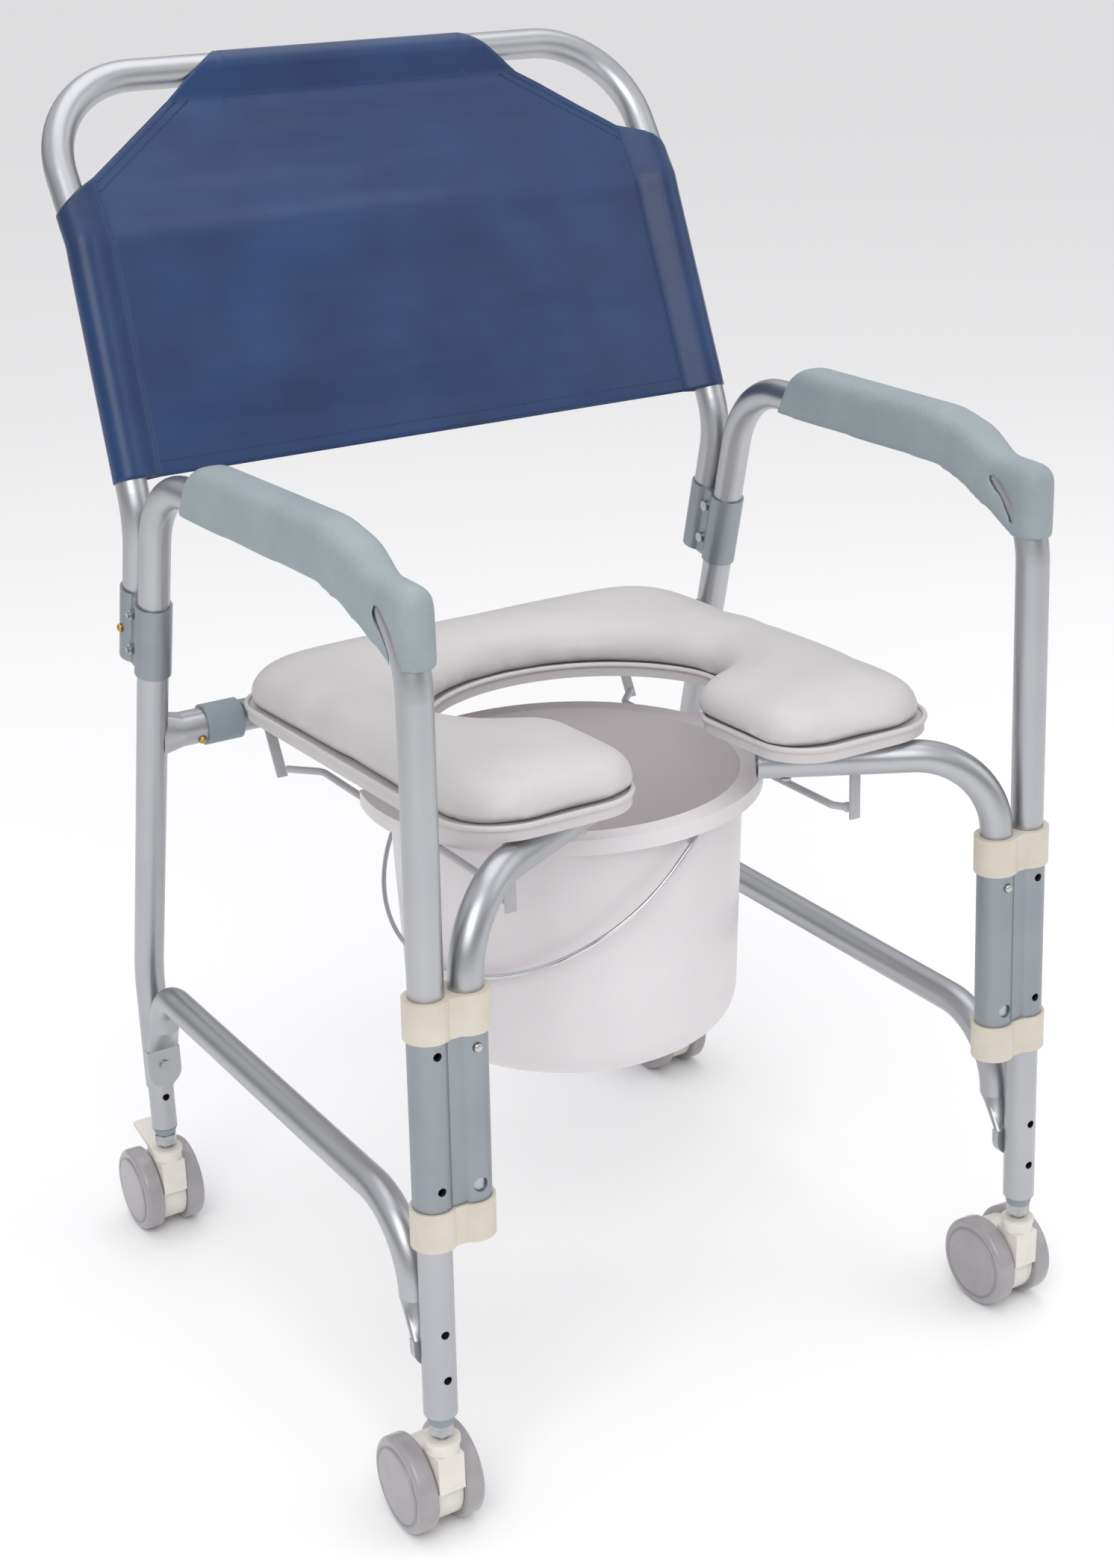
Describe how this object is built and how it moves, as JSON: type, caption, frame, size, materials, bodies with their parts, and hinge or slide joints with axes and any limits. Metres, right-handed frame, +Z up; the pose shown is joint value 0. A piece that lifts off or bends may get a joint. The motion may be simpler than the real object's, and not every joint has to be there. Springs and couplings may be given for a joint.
{
  "type": "shower commode chair",
  "caption": "Wheeled shower commode chair: bent tube frame, stretched back sling, padded armrests, open-front padded seat, bucket on rails and swivel casters.",
  "frame": {"origin": "on the floor, below the middle of the whole chair", "axes": "+X across the chair, to the right of someone facing it; -Y to the front; +Z up"},
  "size_m": [0.6062, 0.6223, 1.0158],
  "materials": {
    "frame_tube": "satin anodised",
    "extrusion": "satin anodised",
    "cream_plastic": "matte",
    "grey_plastic": "matte",
    "steel": "zinc plated",
    "rail_paint": "satin",
    "brass": "polished",
    "button_steel": "polished",
    "pad_foam": "moulded foam, fine grain",
    "sling_fabric": "coated nylon",
    "seat_vinyl": "vinyl",
    "bucket_plastic": "smooth",
    "chrome": "polished",
    "caster_white": "smooth",
    "wheel_grey": "smooth"
  },
  "bodies": {
    "frame": {"armrest_left": "pad_foam", "armrest_right": "pad_foam", "back_bracket_left": "extrusion", "back_bracket_right": "extrusion", "back_sling": "sling_fabric", "back_tube": "frame_tube", "brace_screws": "steel", "bracket_bolts": "steel", "bucket_rail_left": "rail_paint", "bucket_rail_right": "rail_paint", "caster_stems": "steel", "front_sleeve_left": "extrusion", "front_sleeve_right": "extrusion", "leg_extension_left": "frame_tube", "leg_extension_right": "frame_tube", "leg_inserts": "grey_plastic", "rail_tabs": "rail_paint", "rear_socket_left": "extrusion", "rear_socket_right": "extrusion", "seat_board": "seat_vinyl", "seat_cushion": "seat_vinyl", "seat_rear_tube": "frame_tube", "seat_saddles": "grey_plastic", "seat_screws": "steel", "seat_tube_left": "frame_tube", "seat_tube_right": "frame_tube", "side_brace_left": "frame_tube", "side_brace_right": "frame_tube", "side_frame_left": "frame_tube", "side_frame_right": "frame_tube", "sleeve_clips_left": "cream_plastic", "sleeve_clips_right": "cream_plastic", "socket_collars": "grey_plastic"},
    "caster_front_left": {"caster_body_front_left": "caster_white", "caster_axle_front_left": "steel"},
    "wheel_front_left_left": {"caster_wheel_front_left_left": "wheel_grey"},
    "wheel_front_left_right": {"caster_wheel_front_left_right": "wheel_grey"},
    "caster_front_right": {"caster_body_front_right": "caster_white", "caster_axle_front_right": "steel"},
    "wheel_front_right_left": {"caster_wheel_front_right_left": "wheel_grey"},
    "wheel_front_right_right": {"caster_wheel_front_right_right": "wheel_grey"},
    "caster_rear_left": {"caster_body_rear_left": "caster_white", "caster_axle_rear_left": "steel"},
    "wheel_rear_left_left": {"caster_wheel_rear_left_left": "wheel_grey"},
    "wheel_rear_left_right": {"caster_wheel_rear_left_right": "wheel_grey"},
    "pedal_rear_left": {"brake_pedal_rear_left": "caster_white"},
    "caster_rear_right": {"caster_body_rear_right": "caster_white", "caster_axle_rear_right": "steel"},
    "wheel_rear_right_left": {"caster_wheel_rear_right_left": "wheel_grey"},
    "wheel_rear_right_right": {"caster_wheel_rear_right_right": "wheel_grey"},
    "pedal_rear_right": {"brake_pedal_rear_right": "caster_white"},
    "bucket": {"bucket": "bucket_plastic"},
    "bail": {"bail_handle": "chrome"},
    "back_button_left": {"back_button_left": "brass"},
    "back_button_right": {"back_button_right": "brass"},
    "seat_front_button_left": {"seat_front_button_left": "button_steel"},
    "seat_front_button_right": {"seat_front_button_right": "button_steel"},
    "seat_rear_button_left": {"seat_rear_button_left": "brass"},
    "seat_rear_button_right": {"seat_rear_button_right": "brass"}
  },
  "joints": [
    {"name": "swivel_front_left", "type": "hinge", "parent": "frame", "child": "caster_front_left", "pos_m": [-0.2729, -0.287, 0.08], "axis": [0, 0, 1], "continuous": true},
    {"name": "roll_front_left_left", "type": "hinge", "parent": "caster_front_left", "child": "wheel_front_left_left", "pos_m": [-0.2924, -0.2635, 0.0375], "axis": [1, 0, 0], "continuous": true},
    {"name": "roll_front_left_right", "type": "hinge", "parent": "caster_front_left", "child": "wheel_front_left_right", "pos_m": [-0.2534, -0.2635, 0.0375], "axis": [1, 0, 0], "continuous": true},
    {"name": "swivel_front_right", "type": "hinge", "parent": "frame", "child": "caster_front_right", "pos_m": [0.2729, -0.287, 0.08], "axis": [0, 0, 1], "continuous": true},
    {"name": "roll_front_right_left", "type": "hinge", "parent": "caster_front_right", "child": "wheel_front_right_left", "pos_m": [0.2534, -0.2635, 0.0375], "axis": [1, 0, 0], "continuous": true},
    {"name": "roll_front_right_right", "type": "hinge", "parent": "caster_front_right", "child": "wheel_front_right_right", "pos_m": [0.2924, -0.2635, 0.0375], "axis": [1, 0, 0], "continuous": true},
    {"name": "swivel_rear_left", "type": "hinge", "parent": "frame", "child": "caster_rear_left", "pos_m": [-0.2745, 0.2275, 0.08], "axis": [0, 0, 1], "continuous": true},
    {"name": "roll_rear_left_left", "type": "hinge", "parent": "caster_rear_left", "child": "wheel_rear_left_left", "pos_m": [-0.294, 0.251, 0.0375], "axis": [1, 0, 0], "continuous": true},
    {"name": "roll_rear_left_right", "type": "hinge", "parent": "caster_rear_left", "child": "wheel_rear_left_right", "pos_m": [-0.255, 0.251, 0.0375], "axis": [1, 0, 0], "continuous": true},
    {"name": "brake_rear_left", "type": "hinge", "parent": "caster_rear_left", "child": "pedal_rear_left", "pos_m": [-0.2745, 0.243, 0.076], "axis": [1, 0, 0], "range_deg": [-9, 0]},
    {"name": "swivel_rear_right", "type": "hinge", "parent": "frame", "child": "caster_rear_right", "pos_m": [0.2745, 0.2275, 0.08], "axis": [0, 0, 1], "continuous": true},
    {"name": "roll_rear_right_left", "type": "hinge", "parent": "caster_rear_right", "child": "wheel_rear_right_left", "pos_m": [0.255, 0.251, 0.0375], "axis": [1, 0, 0], "continuous": true},
    {"name": "roll_rear_right_right", "type": "hinge", "parent": "caster_rear_right", "child": "wheel_rear_right_right", "pos_m": [0.294, 0.251, 0.0375], "axis": [1, 0, 0], "continuous": true},
    {"name": "brake_rear_right", "type": "hinge", "parent": "caster_rear_right", "child": "pedal_rear_right", "pos_m": [0.2745, 0.243, 0.076], "axis": [1, 0, 0], "range_deg": [-9, 0]},
    {"name": "bucket_slide", "type": "slide", "parent": "frame", "child": "bucket", "axis": [0, 1, 0], "range_m": [-0.1, 0.17]},
    {"name": "bail_lift", "type": "hinge", "parent": "bucket", "child": "bail", "pos_m": [0, -0.0315, 0.4507], "axis": [-0.1959, 0.9806, 0], "range_deg": [0, 33]},
    {"name": "back_button_left_press", "type": "slide", "parent": "frame", "child": "back_button_left", "axis": [1, 0, 0], "range_m": [0, 0.0035], "stiffness_N_per_m": 400, "springref_m": -0.003},
    {"name": "back_button_right_press", "type": "slide", "parent": "frame", "child": "back_button_right", "axis": [-1, 0, 0], "range_m": [0, 0.0035], "stiffness_N_per_m": 400, "springref_m": -0.003},
    {"name": "seat_front_button_left_press", "type": "slide", "parent": "frame", "child": "seat_front_button_left", "axis": [0, 1, 0], "range_m": [0, 0.0035], "stiffness_N_per_m": 400, "springref_m": -0.003},
    {"name": "seat_front_button_right_press", "type": "slide", "parent": "frame", "child": "seat_front_button_right", "axis": [0, 1, 0], "range_m": [0, 0.0035], "stiffness_N_per_m": 400, "springref_m": -0.003},
    {"name": "seat_rear_button_left_press", "type": "slide", "parent": "frame", "child": "seat_rear_button_left", "axis": [0, 0.8387, 0.5446], "range_m": [0, 0.0035], "stiffness_N_per_m": 400, "springref_m": -0.003},
    {"name": "seat_rear_button_right_press", "type": "slide", "parent": "frame", "child": "seat_rear_button_right", "axis": [0, 0.8387, 0.5446], "range_m": [0, 0.0035], "stiffness_N_per_m": 400, "springref_m": -0.003}
  ]
}
